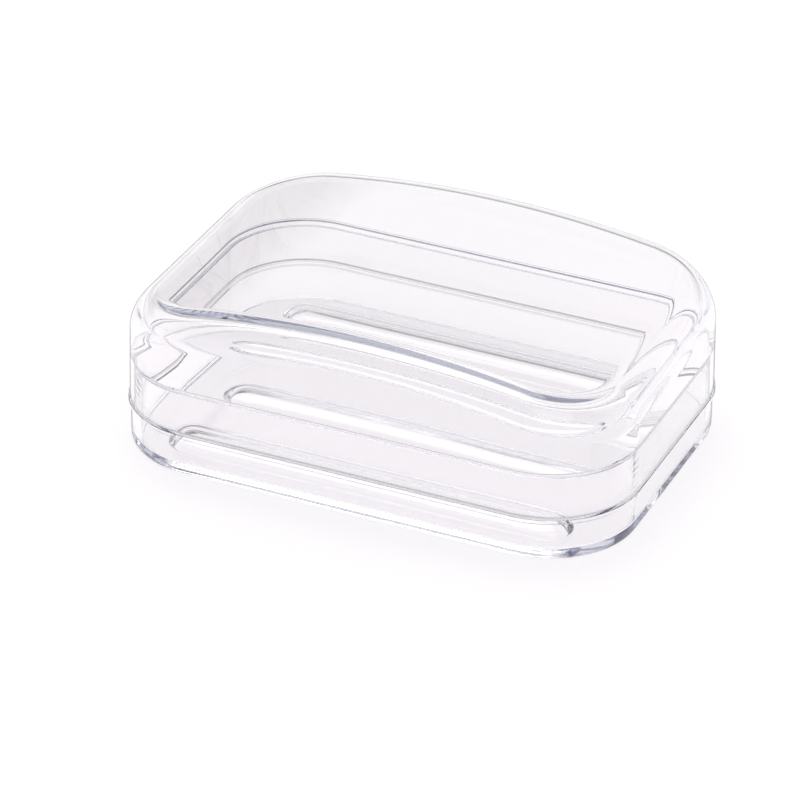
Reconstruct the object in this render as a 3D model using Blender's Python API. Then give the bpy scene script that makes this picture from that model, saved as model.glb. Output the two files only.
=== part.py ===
# Covered soap dish in clear moulded plastic, in two pieces: a shallow tray whose inner lip stands up
# inside the lid, and a deep lid with an arched top, whose skirt slides down over the lip and sits on
# the tray's shoulder. Metres, +Z up, long side along X, origin in the middle of the tray's underside.

import math

import bmesh
import bpy

# Outside, in plan: the dish at its seat, where the lid's skirt meets the tray
BODY_LENGTH = 0.1200
BODY_WIDTH = 0.0840
CORNER_RADIUS = 0.0210
SIDE_DRAFT = math.radians(1.2)

# Lid
LID_END_HEIGHT = 0.0236
LID_ARCH_RISE = 0.0072
LID_EDGE_RADIUS = 0.0070
LID_TOP_WALL = 0.0020
LID_SIDE_WALL = 0.0022
LID_INNER_DRAFT = 0.0008
LID_INNER_RADIUS = 0.0030

# Thin skirt under the lid's inner step, which slides down over the tray's lip
SKIRT_DEPTH = 0.0107
SKIRT_WALL = 0.0009
SKIRT_EDGE_CHAMFER = 0.0001

# Tray
SHOULDER_HEIGHT = 0.0104
RIM_PROUD = 0.0003
RIM_HEIGHT = 0.0009
RIM_CHAMFER = 0.0001
TRAY_SETBACK = 0.0002
FOOT_RADIUS = 0.0009
FLOOR_THICKNESS = 0.0018
FLOOR_FILLET = 0.0010

# Lip that stands up inside the skirt
LIP_RISE = 0.0097
LIP_WALL = 0.0010
LIP_TOP_RADIUS = 0.0003

# Ribs that hold the soap off the floor, hollow underneath
RIB_COUNT = 3
RIB_WIDTH = 0.0110
RIB_RISE = 0.0022
RIB_END_MARGIN = 0.0086
RIB_SIDE_MARGIN = 0.0041
RIB_WALL = 0.0018

# Fits between the two pieces
SEAT_GAP = 0.0003
LIP_CLEARANCE = 0.0003

# Facets
CORNER_STEPS = 10
SIDE_STEPS = 14
EDGE_STEPS = 6
SMALL_STEPS = 2
RIB_END_STEPS = 8
RIB_CROWN_STEPS = 4


def clear_scene():
    for old in list(bpy.data.objects):
        bpy.data.objects.remove(old, do_unlink=True)


def clear_plastic(name, tint, roughness):
    material = bpy.data.materials.new(name)
    material.use_nodes = True
    shader = material.node_tree.nodes["Principled BSDF"]
    shader.inputs["Base Color"].default_value = (*tint, 1.0)
    shader.inputs["Metallic"].default_value = 0.0
    shader.inputs["Roughness"].default_value = roughness
    shader.inputs["Alpha"].default_value = 0.35
    return material


def arch_drop(x):
    """How far the arched top lies below its middle at x."""
    half = BODY_LENGTH / 2
    radius = (half**2 + LID_ARCH_RISE**2) / (2 * LID_ARCH_RISE)
    return radius - math.sqrt(radius**2 - x**2)


def lean(height):
    """How far the drafted sides have closed in at a height above the seat."""
    return (height - SHOULDER_HEIGHT) * math.tan(SIDE_DRAFT)


def outline(inset):
    """Plan of the dish, a rounded rectangle, inset from its size at the seat."""
    half_length = BODY_LENGTH / 2 - inset
    half_width = BODY_WIDTH / 2 - inset
    radius = CORNER_RADIUS - inset
    centre_x = half_length - radius
    centre_y = half_width - radius
    turn = [math.pi / 2 * k / CORNER_STEPS for k in range(CORNER_STEPS + 1)]
    right = [(centre_x + radius * math.cos(a), centre_y + radius * math.sin(a)) for a in turn]
    top = [(centre_x * (1 - 2 * k / SIDE_STEPS), half_width) for k in range(1, SIDE_STEPS)]
    left = [(-x, y) for x, y in reversed(right)]
    back = right + top + left
    return back + [(x, -y) for x, y in reversed(back)]


def ring(bm, inset, height):
    """One loop of vertices; height is a number or a function of x."""
    level = height if callable(height) else lambda x: height
    return [bm.verts.new((x, y, level(x))) for x, y in outline(inset)]


def bridge(bm, rings):
    for lower, upper in zip(rings, rings[1:]):
        for k, corner in enumerate(lower):
            after = (k + 1) % len(lower)
            bm.faces.new((corner, lower[after], upper[after], upper[k]))


def cap(bm, loop):
    """Closes a loop with strips that run straight across the dish, so an arched top stays even."""
    half = len(loop) // 2
    for k in range(half - 1):
        across = len(loop) - 1 - k
        bm.faces.new((loop[k], loop[k + 1], loop[across - 1], loop[across]))


def quarter(steps):
    """Angles of a rounded edge, from its first side to its second."""
    return [math.pi / 2 * k / steps for k in range(steps + 1)]


def finish(bm, name, material):
    bmesh.ops.recalc_face_normals(bm, faces=bm.faces)
    mesh = bpy.data.meshes.new(name)
    bm.to_mesh(mesh)
    bm.free()
    piece = bpy.data.objects.new(name, mesh)
    bpy.context.scene.collection.objects.link(piece)
    piece.data.materials.append(material)
    shade(piece)
    return piece


def shade(piece):
    piece.data.shade_smooth()
    piece.data.set_sharp_from_angle(angle=math.radians(30))


def lid(material):
    """Arched top, rounded edge, sides that thicken upwards, inner step and thin skirt, as one shell."""
    bm = bmesh.new()
    foot = SHOULDER_HEIGHT + SEAT_GAP
    step = foot + SKIRT_DEPTH
    end_top = foot + LID_END_HEIGHT
    side = lean(end_top - LID_EDGE_RADIUS)

    def top(x):
        return end_top + LID_ARCH_RISE - arch_drop(x)

    def edge(inset, wall, radius, angle):
        reach = inset + radius * (1 - math.cos(angle))
        return ring(bm, reach, lambda x: top(x) - wall - radius * (1 - math.sin(angle)))

    outer = [
        ring(bm, lean(foot) + SKIRT_EDGE_CHAMFER, foot),
        ring(bm, lean(foot), foot + SKIRT_EDGE_CHAMFER),
    ]
    outer += [edge(side, 0.0, LID_EDGE_RADIUS, a) for a in quarter(EDGE_STEPS)]
    inner = [
        ring(bm, lean(foot) + SKIRT_WALL, foot),
        ring(bm, lean(step) + SKIRT_WALL, step),
        ring(bm, lean(step) + LID_SIDE_WALL, step),
    ]
    thick = side + LID_SIDE_WALL + LID_INNER_DRAFT
    inner += [edge(thick, LID_TOP_WALL, LID_INNER_RADIUS, a) for a in quarter(EDGE_STEPS)]
    bridge(bm, list(reversed(outer)) + inner)
    cap(bm, outer[-1])
    cap(bm, inner[-1])
    return finish(bm, "lid", material)


def lip_inset():
    """Where the lip's outer face stands at its root."""
    return SKIRT_WALL + LIP_CLEARANCE


def inner_inset():
    """Where the tray's inner wall stands, upright from the lip's top to the floor's fillet."""
    return lip_inset() + lean(SHOULDER_HEIGHT + LIP_RISE) + LIP_WALL


def tray_body(material):
    """Floor, low outer wall, proud rim round the shoulder, and lip, without the ribs."""
    bm = bmesh.new()
    lip_top = SHOULDER_HEIGHT + LIP_RISE
    lip_outer = lip_inset() + lean(lip_top)
    rim_foot = SHOULDER_HEIGHT - RIM_HEIGHT
    rings = []
    for a in quarter(SMALL_STEPS):
        inset = TRAY_SETBACK + FOOT_RADIUS * (1 - math.sin(a))
        rings.append(ring(bm, inset, FOOT_RADIUS * (1 - math.cos(a))))
    rings.append(ring(bm, TRAY_SETBACK, rim_foot - RIM_PROUD - TRAY_SETBACK))
    rings.append(ring(bm, -RIM_PROUD, rim_foot))
    rings.append(ring(bm, -RIM_PROUD, SHOULDER_HEIGHT - RIM_CHAMFER))
    rings.append(ring(bm, RIM_CHAMFER - RIM_PROUD, SHOULDER_HEIGHT))
    rings.append(ring(bm, lip_inset(), SHOULDER_HEIGHT))
    for a in quarter(SMALL_STEPS):
        inset = lip_outer + LIP_TOP_RADIUS * (1 - math.cos(a))
        rings.append(ring(bm, inset, lip_top - LIP_TOP_RADIUS * (1 - math.sin(a))))
    for a in reversed(quarter(SMALL_STEPS)):
        inset = inner_inset() - LIP_TOP_RADIUS * (1 - math.cos(a))
        rings.append(ring(bm, inset, lip_top - LIP_TOP_RADIUS * (1 - math.sin(a))))
    for a in quarter(EDGE_STEPS):
        inset = inner_inset() + FLOOR_FILLET * (1 - math.cos(a))
        rings.append(ring(bm, inset, FLOOR_THICKNESS + FLOOR_FILLET * (1 - math.sin(a))))
    bridge(bm, rings)
    cap(bm, rings[0])
    cap(bm, rings[-1])
    return finish(bm, "base_tray", material)


def capsule(half_length, half_width):
    """Plan of a rib: a straight bar with round ends."""
    centre = half_length - half_width
    turn = [math.pi * k / RIB_END_STEPS - math.pi / 2 for k in range(RIB_END_STEPS + 1)]
    right = [(centre + half_width * math.cos(a), half_width * math.sin(a)) for a in turn]
    return right + [(-x, -y) for x, y in right]


def rib_solid(name, y, width, length, rise, foot, root):
    """Crowned bar standing on a straight root, for a rib or for the hollow under it."""
    bm = bmesh.new()
    rings = [[bm.verts.new((px, y + py, root)) for px, py in capsule(length / 2, width / 2)]]
    for a in quarter(RIB_CROWN_STEPS)[:-1]:
        shrink = width / 2 * (1 - math.cos(a))
        plan = capsule(length / 2 - shrink, width / 2 - shrink)
        rings.append([bm.verts.new((px, y + py, foot + rise * math.sin(a))) for px, py in plan])
    bridge(bm, rings)
    bm.faces.new(rings[0])
    crest = rings[-1]
    half = len(crest) // 2
    ridge_end = length / 2 - width / 2
    ridge = [bm.verts.new((x, y, foot + rise)) for x in (ridge_end, -ridge_end)]
    for end, start in enumerate((0, half)):
        for k in range(start, start + half - 1):
            bm.faces.new((crest[k], crest[k + 1], ridge[end]))
    bm.faces.new((crest[half - 1], crest[half], ridge[1], ridge[0]))
    bm.faces.new((crest[-1], crest[0], ridge[0], ridge[1]))
    bmesh.ops.recalc_face_normals(bm, faces=bm.faces)
    mesh = bpy.data.meshes.new(name)
    bm.to_mesh(mesh)
    bm.free()
    helper = bpy.data.objects.new(name, mesh)
    bpy.context.scene.collection.objects.link(helper)
    helper.hide_render = True
    helper.display_type = "WIRE"
    return helper


def rib_places():
    """Y of each rib, the outer two a margin in from the flat of the floor."""
    reach = BODY_WIDTH / 2 - inner_inset() - FLOOR_FILLET - RIB_SIDE_MARGIN - RIB_WIDTH / 2
    return [reach * (2 * k / (RIB_COUNT - 1) - 1) for k in range(RIB_COUNT)]


def boolean(piece, helper, operation):
    cut = piece.modifiers.new(helper.name, "BOOLEAN")
    cut.object = helper
    cut.operation = operation
    cut.solver = "EXACT"


def base_tray(material):
    tray = tray_body(material)
    length = BODY_LENGTH - 2 * (inner_inset() + FLOOR_FILLET + RIB_END_MARGIN)
    crown = FLOOR_THICKNESS + RIB_RISE
    for k, y in enumerate(rib_places()):
        rib = rib_solid(
            f"rib_form_{k}", y, RIB_WIDTH, length, RIB_RISE, FLOOR_THICKNESS, FLOOR_THICKNESS / 2
        )
        boolean(tray, rib, "UNION")
        hollow = rib_solid(
            f"rib_hollow_{k}",
            y,
            RIB_WIDTH - 2 * RIB_WALL,
            length - 2 * RIB_WALL,
            crown - RIB_WALL,
            0.0,
            -FLOOR_THICKNESS,
        )
        boolean(tray, hollow, "DIFFERENCE")
    return tray


def main():
    clear_scene()
    tray_plastic = clear_plastic("clear_tray_plastic", (0.93, 0.93, 0.95), 0.05)
    lid_plastic = clear_plastic("clear_lid_plastic", (0.95, 0.95, 0.96), 0.04)
    base_tray(tray_plastic)
    lid(lid_plastic)


if __name__ == "__main__":
    main()
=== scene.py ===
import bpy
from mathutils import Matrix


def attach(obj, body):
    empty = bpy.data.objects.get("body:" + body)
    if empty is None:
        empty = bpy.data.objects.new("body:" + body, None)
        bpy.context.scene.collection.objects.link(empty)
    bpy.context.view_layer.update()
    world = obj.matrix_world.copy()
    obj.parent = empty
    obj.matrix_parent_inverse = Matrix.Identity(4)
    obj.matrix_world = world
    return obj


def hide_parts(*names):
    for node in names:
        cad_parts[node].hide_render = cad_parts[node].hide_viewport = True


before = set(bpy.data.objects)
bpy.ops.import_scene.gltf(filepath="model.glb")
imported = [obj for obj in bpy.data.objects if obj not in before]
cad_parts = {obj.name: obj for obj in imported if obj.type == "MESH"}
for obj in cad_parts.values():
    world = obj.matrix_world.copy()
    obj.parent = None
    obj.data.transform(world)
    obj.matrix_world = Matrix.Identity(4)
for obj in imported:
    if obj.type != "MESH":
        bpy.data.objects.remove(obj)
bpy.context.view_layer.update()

import math

import bmesh
import bpy
from mathutils import Matrix, Vector

# The plan that both pieces share, at the seat between them, in metres
plan = {
    "length": 0.1200,
    "width": 0.0840,
    "corner": 0.0210,
    "draft": math.radians(1.2),  # lean of the sides above the seat
    "seat": 0.0104,  # height of the tray's shoulder
    "cornerCuts": 32,
}

# Shading: edges sharper than this stay sharp, and large faces lead the normals
shading = {
    "sharpFrom": math.radians(30),
    "weight": 80,
}

samePlace = 1e-6  # metres; what lies closer than this counts as one place
flatFrom = 0.9  # a face lies flat where its normal's z, up or down, is over this


def lean(height):
    # how far the drafted sides have closed in above the seat
    return (height - plan["seat"]) * math.tan(plan["draft"])


def selectOnly(piece):
    bpy.ops.object.mode_set(mode="OBJECT")
    bpy.ops.object.select_all(action="DESELECT")
    piece.select_set(True)
    bpy.context.view_layer.objects.active = piece


def pick(piece, kind, test):
    # edit mode, with only the vertices, edges or faces that pass the test selected
    bpy.context.view_layer.objects.active = piece
    if piece.mode != "EDIT":
        bpy.ops.object.mode_set(mode="EDIT")
    bpy.ops.mesh.select_mode(type=kind)
    bpy.ops.mesh.select_all(action="DESELECT")
    mesh = bmesh.from_edit_mesh(piece.data)
    for part in {"VERT": mesh.verts, "EDGE": mesh.edges, "FACE": mesh.faces}[kind]:
        if test(part):
            part.select_set(True)
    bmesh.update_edit_mesh(piece.data)


def stands(edge):
    return abs(edge.verts[0].co.z - edge.verts[1].co.z) > samePlace


def facesUp(face):
    return face.normal.z > flatFrom


def facesDown(face):
    return face.normal.z < -flatFrom


def roundedPlate(name, proud, low, high):
    # a flat block that stands proud of the plan all round, left in edit mode
    bpy.ops.object.select_all(action="DESELECT")
    bpy.ops.mesh.primitive_cube_add(size=1, location=(0, 0, (low + high) / 2))
    plate = bpy.context.object
    plate.name = name
    plate.data.name = name
    plate.scale = (plan["length"] + 2 * proud, plan["width"] + 2 * proud, high - low)
    bpy.ops.object.transform_apply(location=True, rotation=True, scale=True)
    pick(plate, "EDGE", stands)
    bpy.ops.mesh.bevel(offset=plan["corner"] + proud, segments=plan["cornerCuts"], affect="EDGES")
    return plate


def rings(steps):
    # each step goes in from the edge of the selected faces and along their normal
    for inwards, along in steps:
        bpy.ops.mesh.inset(thickness=inwards, depth=along, use_even_offset=True)


def roundOver(radiusIn, radiusUp, cuts, sink=1):
    # steps of a quarter round that leaves a wall and ends in the selected faces' own plane
    angles = [math.pi / 2 * k / cuts for k in range(cuts + 1)]
    places = [(radiusIn * (1 - math.cos(a)), radiusUp * math.sin(a)) for a in angles]
    return [(b[0] - a[0], sink * (b[1] - a[1])) for a, b in zip(places, places[1:])]


def turnIn(radiusIn, radiusUp, cuts, sink=1):
    # steps of a quarter round that leaves a flat and ends along a wall
    return list(reversed(roundOver(radiusIn, radiusUp, cuts, sink)))


def useModifier(piece, kind, settings):
    # a modifier is added, set and applied
    selectOnly(piece)
    modifier = piece.modifiers.new(kind.lower(), kind)
    for name, value in settings.items():
        setattr(modifier, name, value)
    bpy.ops.object.modifier_apply(modifier=modifier.name)


def smooth(piece):
    selectOnly(piece)
    bpy.ops.object.shade_smooth_by_angle(angle=shading["sharpFrom"])
    useModifier(piece, "WEIGHTED_NORMAL", {"keep_sharp": True, "weight": shading["weight"]})


# Lid: arched top, rounded edge, drafted sides, inner step and thin skirt
lidSizes = {
    "seatGap": 0.0003,  # between the skirt's end and the tray's shoulder
    "endHeight": 0.0236,  # of the lid's ends
    "archRise": 0.0072,  # of its middle over its ends
    "edgeRadius": 0.0076,
    "innerRadius": 0.0036,
    "innerDraft": 0.0015,  # what the side wall gains on its way up
    "topWall": 0.0026,
    "sideWall": 0.0015,  # at the step
    "skirtDepth": 0.0107,
    "skirtWall": 0.0009,
    "stepSlope": 0.0003,
    "skirtChamfer": 0.0001,
    "plate": 0.0001,  # the thin plate that the lid is drawn out of
    "sideCuts": 80,
    "edgeCuts": 30,
}
lidFoot = plan["seat"] + lidSizes["seatGap"]
lidStep = lidFoot + lidSizes["skirtDepth"]


def cutAcross(lid):
    # cuts that let the arch bend the lid: in line with the corners' own, and even between them
    cuts = plan["cornerCuts"]
    straight = plan["length"] / 2 - plan["corner"]
    ends = [straight + plan["corner"] * math.sin(math.pi / 2 * k / cuts) for k in range(cuts)]
    places = ends + [-x for x in ends]
    places += [straight * (2 * k / lidSizes["sideCuts"] - 1) for k in range(1, lidSizes["sideCuts"])]
    for x in places:
        bpy.ops.mesh.select_all(action="SELECT")
        bpy.ops.mesh.bisect(plane_co=(x, 0, 0), plane_no=(1, 0, 0), threshold=samePlace)


def bendTop(lid, archStart):
    # what lies above archStart is lowered towards the ends, along an arc
    rise = lidSizes["archRise"]
    half = plan["length"] / 2
    radius = (half**2 + rise**2) / (2 * rise)
    arch = lid.vertex_groups.new(name="arch")
    for point in lid.data.vertices:
        if point.co.z > archStart - samePlace:
            drop = radius - math.sqrt(radius**2 - point.co.x**2)
            arch.add([point.index], drop / rise, "REPLACE")
    useModifier(lid, "DISPLACE", {
        "direction": "Z", "mid_level": 0.0, "strength": -rise, "vertex_group": "arch",
    })
    lid.vertex_groups.clear()


def buildLid():
    s = lidSizes
    plateLow = lidFoot + s["skirtChamfer"]
    plateHigh = plateLow + s["plate"]
    crown = lidFoot + s["endHeight"] + s["archRise"]
    edgeStart = crown - s["edgeRadius"]
    side = lean(lidFoot + s["endHeight"] - s["edgeRadius"])
    lid = roundedPlate("clearLid", proud=0.0, low=plateLow, high=plateHigh)
    cutAcross(lid)

    pick(lid, "FACE", facesUp)
    rings([(side, edgeStart - plateHigh)])
    rings(roundOver(s["edgeRadius"], s["edgeRadius"], s["edgeCuts"]))

    pick(lid, "FACE", facesDown)
    innerStart = crown - s["topWall"] - s["innerRadius"]
    rings([
        (s["skirtChamfer"], s["skirtChamfer"]),  # the skirt's outer edge
        (s["skirtWall"] - s["skirtChamfer"] + lean(lidFoot), 0),  # its end
        (lean(lidStep) - lean(lidFoot), lidFoot - lidStep),  # its inner side, up to the step
        (s["sideWall"] - s["skirtWall"], s["stepSlope"]),  # the step, lower at its inner edge
        (side - lean(lidStep) + s["innerDraft"], lidStep - s["stepSlope"] - innerStart),
    ])
    rings(roundOver(s["innerRadius"], s["innerRadius"], s["edgeCuts"], sink=-1))
    bpy.ops.object.mode_set(mode="OBJECT")

    bendTop(lid, edgeStart)
    smooth(lid)
    return lid


# Tray: floor, low outer wall, proud rim round the shoulder, and lip
traySizes = {
    "rimProud": 0.0003,  # of the rim, past the lid's side
    "rimHeight": 0.0009,
    "rimChamfer": 0.0001,
    "setback": 0.0002,  # of the wall under the rim, behind the lid's side
    "foot": 0.0012,  # radius of the lowest edge
    "floor": 0.0018,
    "floorFillet": 0.0010,
    "lipRise": 0.0097,  # over the shoulder
    "lipWall": 0.0010,
    "lipRound": 0.0003,
    "lipClearance": 0.0003,  # between the lip and the lid's skirt
    "filletCuts": 14,
    "smallCuts": 4,
}

# Ribs on the tray's floor, hollow underneath
ribSizes = {
    "count": 3,
    "width": 0.0110,
    "rise": 0.0020,
    "edge": 0.0050,  # how far in from its side a rib is rounded
    "length": 0.0960,
    "spacing": 0.0290,
    "wall": 0.0011,
    "endCuts": 20,
    "edgeCuts": 8,
}


def ribForm(name, y, width, length, rise, edge, foot, root):
    # a bar with round ends and a crowned top: a drum whose halves are pulled apart
    cuts = 2 * ribSizes["endCuts"]
    halfCut = math.pi / cuts
    bpy.ops.object.select_all(action="DESELECT")
    bpy.ops.mesh.primitive_cylinder_add(
        vertices=cuts, radius=width / 2 / math.cos(halfCut), depth=foot - root,
        location=(0, y, (foot + root) / 2), rotation=(0, 0, halfCut),
    )
    bar = bpy.context.object
    bar.name = name
    bpy.ops.object.transform_apply(location=True, rotation=True, scale=True)
    for side in (-1, 1):
        pick(bar, "VERT", lambda point: side * point.co.x > 0)
        bpy.ops.transform.translate(value=(side * (length - width) / 2, 0, 0))
    pick(bar, "FACE", facesUp)
    rings(roundOver(edge, rise, ribSizes["edgeCuts"]))
    bpy.ops.object.mode_set(mode="OBJECT")
    return bar


def addRib(tray, k):
    # the rib starts half way down the floor's thickness, and its hollow is cut from below
    r = ribSizes
    floor = traySizes["floor"]
    y = r["spacing"] * (k - (r["count"] - 1) / 2)
    rib = ribForm(
        f"rib{k}", y, r["width"], r["length"], r["rise"], r["edge"], foot=floor, root=floor / 2,
    )
    useModifier(tray, "BOOLEAN", {"object": rib, "operation": "UNION", "solver": "EXACT"})
    hollow = ribForm(
        f"hollow{k}", y, r["width"] - 2 * r["wall"], r["length"] - 2 * r["wall"],
        floor + r["rise"] - r["wall"], r["edge"] * (1 - 2 * r["wall"] / r["width"]),
        foot=0.0, root=-floor,
    )
    useModifier(tray, "BOOLEAN", {"object": hollow, "operation": "DIFFERENCE", "solver": "EXACT"})
    bpy.data.objects.remove(rib)
    bpy.data.objects.remove(hollow)


def buildTray():
    s = traySizes
    proud = s["rimProud"]
    underCut = proud + s["setback"]
    rimFoot = plan["seat"] - s["rimHeight"]
    lipInset = lidSizes["skirtWall"] + s["lipClearance"]
    lipTop = plan["seat"] + s["lipRise"]
    filletTop = s["floor"] + s["floorFillet"]
    tray = roundedPlate("clearTray", proud, rimFoot, plan["seat"] - s["rimChamfer"])

    pick(tray, "FACE", facesDown)
    rings([
        (underCut, underCut),  # in under the rim
        (0, rimFoot - underCut - s["foot"]),  # the outer wall
    ])
    rings(roundOver(s["foot"], s["foot"], s["smallCuts"]))

    pick(tray, "FACE", facesUp)
    rings([
        (s["rimChamfer"], s["rimChamfer"]),
        (lipInset + proud - s["rimChamfer"], 0),  # the shoulder, where the lid comes to rest
        (lean(lipTop), lipTop - s["lipRound"] - plan["seat"]),  # the lip's outer side
    ])
    rings(roundOver(s["lipRound"], s["lipRound"], s["smallCuts"]))
    rings([(s["lipWall"] - 2 * s["lipRound"], 0)])  # the lip's flat top
    rings(turnIn(s["lipRound"], s["lipRound"], s["smallCuts"], sink=-1))
    rings([(0, filletTop - lipTop + s["lipRound"])])  # the inner wall
    rings(roundOver(s["floorFillet"], s["floorFillet"], s["filletCuts"], sink=-1))
    bpy.ops.object.mode_set(mode="OBJECT")

    for k in range(ribSizes["count"]):
        addRib(tray, k)
    smooth(tray)
    return tray


def fillRamp(ramp, stops):
    # grey stops; a new ramp already holds the first two
    for k, (place, grey) in enumerate(stops):
        stop = ramp.elements[k] if k < len(ramp.elements) else ramp.elements.new(place)
        stop.position = place
        stop.color = (grey, grey, grey, 1)


# Shader maths: a wrapped socket takes part in Python expressions
class Value:
    def __init__(self, tree, socket=None):
        self.tree = tree
        self.socket = socket

    def node(self, kind, sockets=None, **settings):
        # settings first, then the sockets' values or links; its first output comes back
        made = self.tree.nodes.new(kind)
        for name, value in settings.items():
            if name == "stops":
                fillRamp(made.color_ramp, value)
            else:
                setattr(made, name, value)
        for key, value in (sockets or {}).items():
            if isinstance(value, Value):
                self.tree.links.new(value.socket, made.inputs[key])
            else:
                made.inputs[key].default_value = value
        return Value(self.tree, made.outputs[0] if made.outputs else None)

    def out(self, key):
        # another output of the same node
        return Value(self.tree, self.socket.node.outputs[key])

    def maths(self, operation, a, b=0.0):
        return self.node("ShaderNodeMath", {0: a, 1: b}, operation=operation)

    def __add__(self, other):
        return self.maths("ADD", self, other)

    def __radd__(self, other):
        return self.maths("ADD", other, self)

    def __sub__(self, other):
        return self.maths("SUBTRACT", self, other)

    def __rsub__(self, other):
        return self.maths("SUBTRACT", other, self)

    def __mul__(self, other):
        return self.maths("MULTIPLY", self, other)

    def __rmul__(self, other):
        return self.maths("MULTIPLY", other, self)

    def __abs__(self):
        return self.maths("ABSOLUTE", self)

    def most(self, other):
        return self.maths("MAXIMUM", self, other)

    def above(self, low, high):
        # 0 below low, 1 above high, and smooth between
        sockets = {"Value": self, "From Min": low, "From Max": high}
        return self.node("ShaderNodeMapRange", sockets, interpolation_type="SMOOTHSTEP")

    def blend(self, first, second):
        # a Mix node's colours are its sockets 6 and 7, and their mix is its output 2
        sockets = {0: self, 6: first, 7: second}
        return self.node("ShaderNodeMix", sockets, data_type="RGBA").out(2)

    def vector(self, operation, other=(0, 0, 0)):
        return self.node("ShaderNodeVectorMath", {0: self, 1: other}, operation=operation)

    def length(self):
        return self.vector("LENGTH").out("Value")

    def along(self, direction):
        return self.vector("DOT_PRODUCT", direction).out("Value")


def emptyTree(block):
    # a material's or a world's own nodes are cleared, ready for new ones
    block.use_nodes = True
    block.node_tree.nodes.clear()
    return Value(block.node_tree)


# Clear moulded plastic
plasticLook = {
    "bend": 1.57,  # index of refraction
    "tintLow": (1.0, 0.9935, 0.9972, 1),
    "tintHigh": (0.997, 0.9885, 0.9932, 1),
    "depthColor": (0.955, 0.957, 0.970, 1),  # what long paths through it turn to
    "depthDensity": 160.0,
    "cloud": {"Scale": 30.0, "Detail": 2.0, "Roughness": 0.5},
    "cloudFrom": 0.35,
    "cloudFull": 0.65,
    "ripple": {"Scale": 55.0, "Detail": 1.0, "Roughness": 0.4},
    "rippleDepth": 0.000012,
    "scuff": {"Scale": 900.0, "Detail": 3.0, "Roughness": 0.6},
    "scuffFrom": 0.62,
    "scuffFull": 0.80,
    "scuffHaze": 0.03,
    "lampTint": (0.955, 0.95, 0.955, 1),  # of the light that falls through it on the floor
    # painted shade: a dark band along each seam, for the dark line that each step draws in the clear
    # walls
    "seamShade": (0.34, 0.34, 0.34, 1),
    "seamOff": 0.0001,  # from the edge that a seam's painted dark band belongs to
    "seamHalf": 0.00007,
    "seamSoft": 0.00005,
    "seamDepth": 0.0006,
    "edgeShadeTone": (0.76, 0.77, 0.80, 1),  # painted shade at a glancing angle
    "edgeFrom": 0.80,  # 0 is face on, and 1 is edge on
    "edgeFull": 0.96,
    # painted shade: a thin grey line along the edge of each form, seen from outside
    "outline": 0.65,
    "outlineColor": (0.22, 0.22, 0.24, 1),
    "seedShares": (1.0, 0.7, 0.3),  # how a seed moves the patterns along X, Y and Z
    "lidSeed": 0.31,
    "traySeed": 0.83,
}


def seamShadeBands(at, place, seams):
    # 1 in a thin band of painted shade at each seam's height, on the outer side alone
    look = plasticLook
    height = at.node("ShaderNodeSeparateXYZ", {"Vector": place}).out("Z")
    bands = 0.0
    for seam in seams:
        off = abs(height - seam)
        bands = (1 - off.above(look["seamHalf"], look["seamHalf"] + look["seamSoft"])).most(bands)
    anyHeight = 1.0  # metres; more than the dish has, so that height doesn't count
    core = (plan["length"] / 2 - plan["corner"], plan["width"] / 2 - plan["corner"], anyHeight)
    past = place.vector("ABSOLUTE").vector("SUBTRACT", core).vector("MAXIMUM", (0, 0, 0))
    deepest = plan["corner"] - 2 * look["seamDepth"]
    return bands * past.length().above(deepest, plan["corner"] - look["seamDepth"])


def clearPlastic(name, seed, seams):
    material = bpy.data.materials.new(name)
    at = emptyTree(material)
    look = plasticLook
    place = at.node("ShaderNodeTexCoord").out("Object")
    start = tuple(seed * share for share in look["seedShares"])
    spot = at.node("ShaderNodeMapping", {"Vector": place, "Location": start})
    cloud, ripple, scuffs = [
        at.node("ShaderNodeTexNoise", {"Vector": spot, **look[pattern]})
        for pattern in ("cloud", "ripple", "scuff")
    ]
    tint = cloud.above(look["cloudFrom"], look["cloudFull"]).blend(look["tintLow"], look["tintHigh"])
    # painted shade: the seams' dark bands darken the tint
    tint = seamShadeBands(at, place, seams).blend(tint, look["seamShade"])
    facing = at.node("ShaderNodeLayerWeight").out("Facing")
    # painted shade: the tint darkens where the surface is seen at a glancing angle
    edges = facing.above(look["edgeFrom"], look["edgeFull"])
    bump = at.node("ShaderNodeBump", {"Height": ripple, "Distance": look["rippleDepth"]})
    body = at.node("ShaderNodeBsdfPrincipled", {
        "Base Color": edges.blend(tint, look["edgeShadeTone"]),
        "IOR": look["bend"],
        "Roughness": scuffs.above(look["scuffFrom"], look["scuffFull"]) * look["scuffHaze"],
        "Normal": bump,
        "Transmission Weight": 1.0,
    })
    # seen from outside, the edge of each form draws a thin grey line of painted shade
    inside = at.node("ShaderNodeNewGeometry").out("Backfacing")
    line = edges * (1 - inside) * look["outline"]
    outline = at.node("ShaderNodeBsdfDiffuse", {"Color": look["outlineColor"]})
    drawn = at.node("ShaderNodeMixShader", {"Fac": line, 1: body, 2: outline})
    # light on its way to the floor passes straight through
    rays = at.node("ShaderNodeLightPath")
    passing = rays.out("Is Shadow Ray").most(rays.out("Is Diffuse Ray"))
    clear = at.node("ShaderNodeBsdfTransparent", {"Color": look["lampTint"]})
    surface = at.node("ShaderNodeMixShader", {"Fac": passing, 1: drawn, 2: clear})
    depth = {"Color": look["depthColor"], "Density": look["depthDensity"]}
    volume = at.node("ShaderNodeVolumeAbsorption", depth)
    at.node("ShaderNodeOutputMaterial", {"Surface": surface, "Volume": volume})
    return material


# Floor: pale, and white to the camera where nothing shades it
floorLook = {
    "size": 8.0,
    "color": (0.82, 0.81, 0.815, 1),
    "glowColor": (1.0, 0.985, 0.995, 1),
    "glowSeen": 0.34,
    "glowThrough": 0.385,  # in reflections, and seen through the plastic
    "glowFar": 0.35,  # added further out
    "farFrom": 0.20,
    "farFull": 1.20,
    "drop": 0.0002,  # under the dish
}


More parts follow.
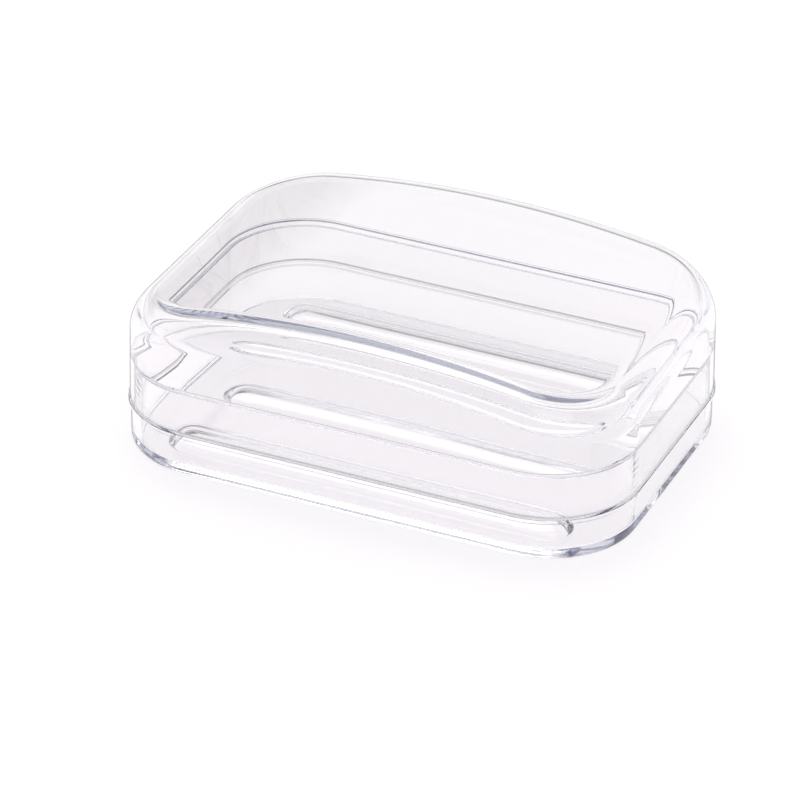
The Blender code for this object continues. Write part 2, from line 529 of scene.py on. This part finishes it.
def buildFloor():
    look = floorLook
    bpy.ops.object.select_all(action="DESELECT")
    bpy.ops.mesh.primitive_plane_add(size=look["size"], location=(0, 0, -look["drop"]))
    floor = bpy.context.object
    floor.name = "studioFloor"
    material = bpy.data.materials.new("paleFloor")
    at = emptyTree(material)
    matt = at.node("ShaderNodeBsdfDiffuse", {"Color": look["color"]})
    rays = at.node("ShaderNodeLightPath")
    seen = rays.out("Is Camera Ray")
    through = rays.out("Is Glossy Ray").most(rays.out("Is Transmission Ray"))
    away = at.node("ShaderNodeTexCoord").out("Object").length()
    far = away.above(look["farFrom"], look["farFull"]) * look["glowFar"]
    strength = seen * (far + look["glowSeen"]) + (1 - seen) * through * look["glowThrough"]
    glow = at.node("ShaderNodeEmission", {"Color": look["glowColor"], "Strength": strength})
    both = at.node("ShaderNodeAddShader", {0: matt, 1: glow})
    at.node("ShaderNodeOutputMaterial", {"Surface": both})
    floor.data.materials.append(material)


# World: plain ambient light, and a pale studio in what the dish mirrors and refracts
worldLook = {
    "ambient": 0.55,
    "white": 1.0,
    "front": 0.50,
    "frontTowards": (0.345, -0.788, 0.51),
    "frontFrom": 0.1,
    "frontFull": 0.5,
    "backTowards": (-0.5, 0.866, 0.0),
    "backFrom": 0.35,
    "backFull": 0.75,
    # height of the direction, and brightness there
    "backStops": [
        (0.0, 0.90), (0.17, 0.90), (0.22, 0.25), (0.33, 0.25), (0.39, 0.76),
        (0.52, 0.72), (0.62, 0.78), (0.75, 0.78), (0.85, 0.85), (0.95, 1.0),
    ],
}


def buildWorld():
    look = worldLook
    world = bpy.data.worlds.new("studio")
    bpy.context.scene.world = world
    at = emptyTree(world)
    towards = at.node("ShaderNodeTexCoord").out("Generated")
    height = at.node("ShaderNodeSeparateXYZ", {"Vector": towards}).out("Z")
    back = at.node("ShaderNodeValToRGB", {"Fac": height}, stops=look["backStops"])
    behind = towards.along(look["backTowards"]).above(look["backFrom"], look["backFull"])
    before = towards.along(look["frontTowards"]).above(look["frontFrom"], look["frontFull"])
    front = before * look["front"] + (1 - before) * look["white"]
    studio = behind * back + (1 - behind) * front
    rays = at.node("ShaderNodeLightPath")
    seen = rays.out("Is Glossy Ray").most(rays.out("Is Transmission Ray"))
    strength = rays.out("Is Camera Ray").most(seen * studio + (1 - seen) * look["ambient"])
    sky = at.node("ShaderNodeBackground", {"Color": (1, 1, 1, 1), "Strength": strength})
    at.node("ShaderNodeOutputWorld", {"Surface": sky})


# Lamps: one wide soft light behind and above on the left, one weak fill in front on the right
lampList = [
    {"name": "keyLight", "size": 0.9, "power": 7.5, "place": (-0.35, 0.45, 1.45)},
    {"name": "fillLight", "size": 1.2, "power": 3.0, "place": (0.9, -0.9, 1.2)},
]


def buildLamps():
    for lamp in lampList:
        bpy.ops.object.light_add(type="AREA", location=lamp["place"])
        made = bpy.context.object
        made.name = lamp["name"]
        made.data.size = lamp["size"]
        made.data.energy = lamp["power"]
        made.rotation_euler = (-Vector(lamp["place"])).to_track_quat("-Z", "Y").to_euler()


# Camera, at the photograph's angle
cameraView = {
    "azimuth": 23.63,
    "elevation": 30.663,
    "roll": 0.784,
    "distance": 0.984,
    "lens": 197.35,
    "sensor": 36.0,
    "shift": (-0.02795, 0.0326),
}


def buildCamera():
    v = cameraView
    around, up = math.radians(v["azimuth"]), math.radians(v["elevation"])
    back = Vector((math.sin(around) * math.cos(up), -math.cos(around) * math.cos(up), math.sin(up)))
    bpy.ops.object.camera_add(location=back * v["distance"])
    camera = bpy.context.object
    camera.name = "photoCamera"
    camera.data.lens = v["lens"]
    camera.data.sensor_width = v["sensor"]
    camera.data.shift_x, camera.data.shift_y = v["shift"]
    roll = Matrix.Rotation(math.radians(v["roll"]), 3, "Z").to_quaternion()
    camera.rotation_euler = ((-back).to_track_quat("-Z", "Y") @ roll).to_euler()
    bpy.context.scene.camera = camera


buildCamera()
print("camera ready")

seamOff = plasticLook["seamOff"]
lidSeams = (lidFoot + seamOff, lidStep + seamOff)
lid = buildLid()
lid.data.materials.append(clearPlastic("clearLidPlastic", plasticLook["lidSeed"], lidSeams))
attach(lid, "lid")
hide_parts("lid")
print("lid ready", len(lid.data.polygons), "faces")

traySeams = (plan["seat"] - seamOff,)
tray = buildTray()
tray.data.materials.append(clearPlastic("clearTrayPlastic", plasticLook["traySeed"], traySeams))
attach(tray, "tray")
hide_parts("base_tray")
print("tray ready", len(tray.data.polygons), "faces")

buildFloor()
buildWorld()
buildLamps()
bounces = 64  # light runs a long way inside clear walls before it leaves them
scene = bpy.context.scene
scene.view_settings.view_transform = "Standard"
scene.cycles.max_bounces = bounces
scene.cycles.glossy_bounces = bounces
scene.cycles.transmission_bounces = bounces
print("stage ready")
